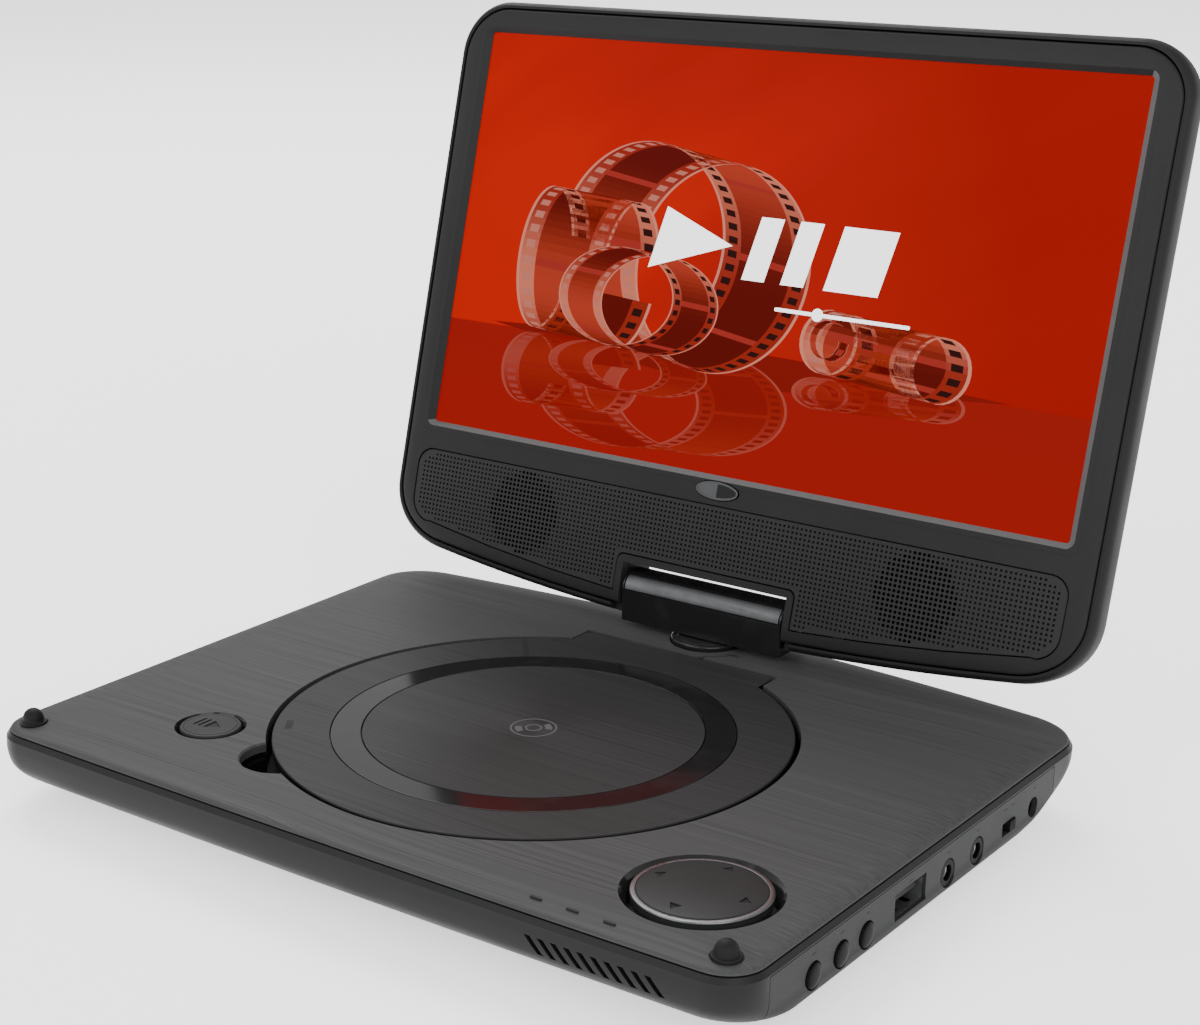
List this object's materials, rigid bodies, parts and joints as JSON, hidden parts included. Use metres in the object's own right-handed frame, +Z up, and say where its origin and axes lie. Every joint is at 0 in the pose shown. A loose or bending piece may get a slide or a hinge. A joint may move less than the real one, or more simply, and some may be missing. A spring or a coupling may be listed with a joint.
{
  "type": "portable dvd player",
  "caption": "Portable disc player with a top-loading round door, direction pad, side sockets and a widescreen lid that tilts and swivels on a central hinge.",
  "frame": {"origin": "centre of the footprint of the open player, at the bottom of its feet", "axes": "+X to the right of a person at the keys, +Y from the keys to the hinge, +Z up"},
  "size_m": [0.22, 0.2048, 0.1836],
  "materials": {
    "brushed_top": "satin, brushed along X",
    "shell_plastic": "satin moulded",
    "side_plastic": "satin moulded, lighter grey",
    "bezel_plastic": "fine matte",
    "inner_plastic": "matte black",
    "gloss_black": "high gloss",
    "rubber_black": "soft matte",
    "sheet_steel": "plated sheet",
    "turned_steel": "bright turned",
    "trim_metal": "brushed along X",
    "circuit_board": "solder mask",
    "battery_wrap": "shrink wrap",
    "screen_glass": "lit display",
    "lens_glass": "coated lens",
    "gear_white": "acetal",
    "gear_brass": "turned",
    "key_plastic": "satin"
  },
  "bodies": {
    "base": {"top_cover": "brushed_top", "lower_shell": "shell_plastic", "port_panel": "side_plastic", "bay_floor": "inner_plastic", "bay_wall": "inner_plastic", "foot_front_left": "rubber_black", "foot_front_right": "rubber_black", "foot_rear_left": "rubber_black", "foot_rear_right": "rubber_black", "base_screw_1": "turned_steel", "base_screw_2": "turned_steel", "base_screw_3": "turned_steel", "base_screw_4": "turned_steel", "bumper_left": "rubber_black", "bumper_right": "rubber_black", "drive_chassis": "sheet_steel", "spindle_motor": "sheet_steel", "guide_rod_left": "turned_steel", "guide_rod_right": "turned_steel", "feed_motor": "sheet_steel", "main_board": "circuit_board", "battery_pack": "battery_wrap", "usb_socket": "sheet_steel", "headphone_jack": "inner_plastic", "av_jack": "inner_plastic", "dc_jack": "inner_plastic", "switch_body": "sheet_steel", "swivel_bearing": "sheet_steel"},
    "door": {"disc_door": "brushed_top", "door_ring": "gloss_black"},
    "spindle": {"turntable": "inner_plastic"},
    "pickup": {"pickup_sled": "inner_plastic", "pickup_lens": "lens_glass"},
    "feed_wheel": {"feed_gear": "gear_white"},
    "feed_motor_gear": {"feed_pinion": "gear_brass"},
    "play_key": {"play_button": "key_plastic"},
    "pad_support": {"pad_rocker": "gear_white"},
    "pad": {"direction_pad": "key_plastic"},
    "side_key_1": {"side_button_1": "gloss_black"},
    "side_key_2": {"side_button_2": "gloss_black"},
    "side_key_3": {"side_button_3": "gloss_black"},
    "switch_knob": {"power_switch": "inner_plastic"},
    "swivel": {"swivel_disc": "gloss_black", "swivel_nut": "sheet_steel", "hinge_block": "gloss_black", "hinge_trim": "trim_metal"},
    "lid": {"hinge_bracket_left": "sheet_steel", "hinge_bracket_right": "sheet_steel", "front_bezel": "bezel_plastic", "rear_shell": "side_plastic", "speaker_grille": "bezel_plastic", "badge": "trim_metal", "lcd_panel": "screen_glass", "backlight_frame": "gear_white", "driver_board": "circuit_board", "speaker_left": "inner_plastic", "speaker_right": "inner_plastic"}
  },
  "joints": [
    {"name": "disc_door_hinge", "type": "hinge", "parent": "base", "child": "door", "pos_m": [0, 0.03995, 0.0197], "axis": [-1, 0, 0], "range_deg": [0, 70]},
    {"name": "turntable_spin", "type": "hinge", "parent": "base", "child": "spindle", "pos_m": [0, -0.02314, 0.016], "axis": [0, 0, 1], "continuous": true},
    {"name": "pickup_slide", "type": "slide", "parent": "base", "child": "pickup", "axis": [0, -1, 0], "range_m": [0, 0.034]},
    {"name": "feed_gear_spin", "type": "hinge", "parent": "base", "child": "feed_wheel", "pos_m": [-0.034, -0.05405, 0.009], "axis": [0, 0, -1], "range_deg": [0, 244.51]},
    {"name": "feed_pinion_spin", "type": "hinge", "parent": "base", "child": "feed_motor_gear", "pos_m": [-0.04178, -0.04627, 0.009], "axis": [0, 0, 1], "range_deg": [0, 651.35]},
    {"name": "play_press", "type": "slide", "parent": "base", "child": "play_key", "axis": [0, 0, -1], "range_m": [0, 0.0005], "stiffness_N_per_m": 600, "springref_m": -0.0006},
    {"name": "pad_rock_sideways", "type": "hinge", "parent": "base", "child": "pad_support", "pos_m": [0.082, -0.07365, 0.0167], "axis": [0, 1, 0], "range_deg": [-2.5, 2.5], "stiffness_Nm_per_rad": 0.25},
    {"name": "pad_rock_lengthways", "type": "hinge", "parent": "pad_support", "child": "pad", "pos_m": [0.082, -0.07365, 0.0167], "axis": [1, 0, 0], "range_deg": [-2.5, 2.5], "stiffness_Nm_per_rad": 0.25},
    {"name": "side_button_1_press", "type": "slide", "parent": "base", "child": "side_key_1", "axis": [-1, 0, 0], "range_m": [0, 0.0004], "stiffness_N_per_m": 600, "springref_m": -0.0006},
    {"name": "side_button_2_press", "type": "slide", "parent": "base", "child": "side_key_2", "axis": [-1, 0, 0], "range_m": [0, 0.0004], "stiffness_N_per_m": 600, "springref_m": -0.0006},
    {"name": "side_button_3_press", "type": "slide", "parent": "base", "child": "side_key_3", "axis": [-1, 0, 0], "range_m": [0, 0.0004], "stiffness_N_per_m": 600, "springref_m": -0.0006},
    {"name": "power_switch_slide", "type": "slide", "parent": "base", "child": "switch_knob", "axis": [0, -1, 0], "range_m": [0, 0.003]},
    {"name": "swivel_turn", "type": "hinge", "parent": "base", "child": "swivel", "pos_m": [0, 0.05525, 0.02], "axis": [0, 0, 1], "range_deg": [-180, 0]},
    {"name": "lid_tilt", "type": "hinge", "parent": "swivel", "child": "lid", "pos_m": [0, 0.05695, 0.032], "axis": [-1, 0, 0], "range_deg": [-104.95, 75]}
  ],
  "couplings": [
    {"joint": "feed_gear_spin", "follows": "pickup_slide", "rad_per_m": 125},
    {"joint": "feed_pinion_spin", "follows": "pickup_slide", "rad_per_m": 333.33}
  ]
}
